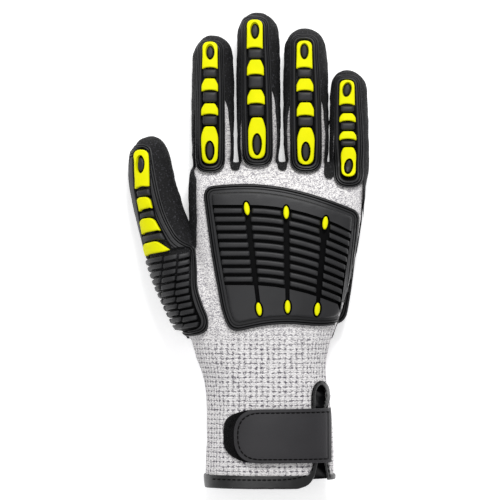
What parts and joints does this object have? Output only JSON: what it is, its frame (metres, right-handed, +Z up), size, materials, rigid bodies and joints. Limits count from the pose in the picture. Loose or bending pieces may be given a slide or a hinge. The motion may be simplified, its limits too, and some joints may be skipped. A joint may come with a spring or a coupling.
{
  "type": "impact glove",
  "caption": "Right-hand work glove in grey cut-resistant knit with a coated palm, moulded black and yellow impact guards on its back and a strapped wrist.",
  "frame": {"origin": "bottom centre of the glove's own box, on the surface that the palm lies on", "axes": "+Z up out of the back of the hand, +Y towards the fingertips, the thumb at -X"},
  "size_m": [0.133, 0.2656, 0.0433],
  "materials": {
    "knit_yarn": "matt marl knit",
    "sandy_coating": "sandy matt",
    "black_rubber": "matt",
    "yellow_rubber": "satin, fluorescent",
    "strap_leather": "smooth matt",
    "black_fabric": "satin"
  },
  "bodies": {
    "root": {"knit_shell": "knit_yarn", "palm_coating": "sandy_coating", "back_plate": "black_rubber", "thumb_guard": "black_rubber", "cuff_binding": "black_fabric", "slit_gusset": "black_fabric", "loop_patch": "black_fabric", "wrist_strap": "strap_leather", "index_guard": "black_rubber", "middle_guard": "black_rubber", "ring_guard": "black_rubber", "little_guard": "black_rubber", "index_insert_tip": "yellow_rubber", "index_insert_upper": "yellow_rubber", "index_insert_lower": "yellow_rubber", "index_insert_base": "yellow_rubber", "middle_insert_tip": "yellow_rubber", "middle_insert_upper": "yellow_rubber", "middle_insert_lower": "yellow_rubber", "middle_insert_base": "yellow_rubber", "ring_insert_tip": "yellow_rubber", "ring_insert_upper": "yellow_rubber", "ring_insert_lower": "yellow_rubber", "ring_insert_base": "yellow_rubber", "little_insert_tip": "yellow_rubber", "little_insert_upper": "yellow_rubber", "little_insert_lower": "yellow_rubber", "little_insert_base": "yellow_rubber", "thumb_insert_tip": "yellow_rubber", "thumb_insert_upper": "yellow_rubber", "thumb_insert_lower": "yellow_rubber", "thumb_insert_base": "yellow_rubber", "plate_insert_left_upper": "yellow_rubber", "plate_insert_left_lower": "yellow_rubber", "plate_insert_middle_upper": "yellow_rubber", "plate_insert_middle_lower": "yellow_rubber", "plate_insert_right_upper": "yellow_rubber", "plate_insert_right_lower": "yellow_rubber"}
  },
  "joints": []
}
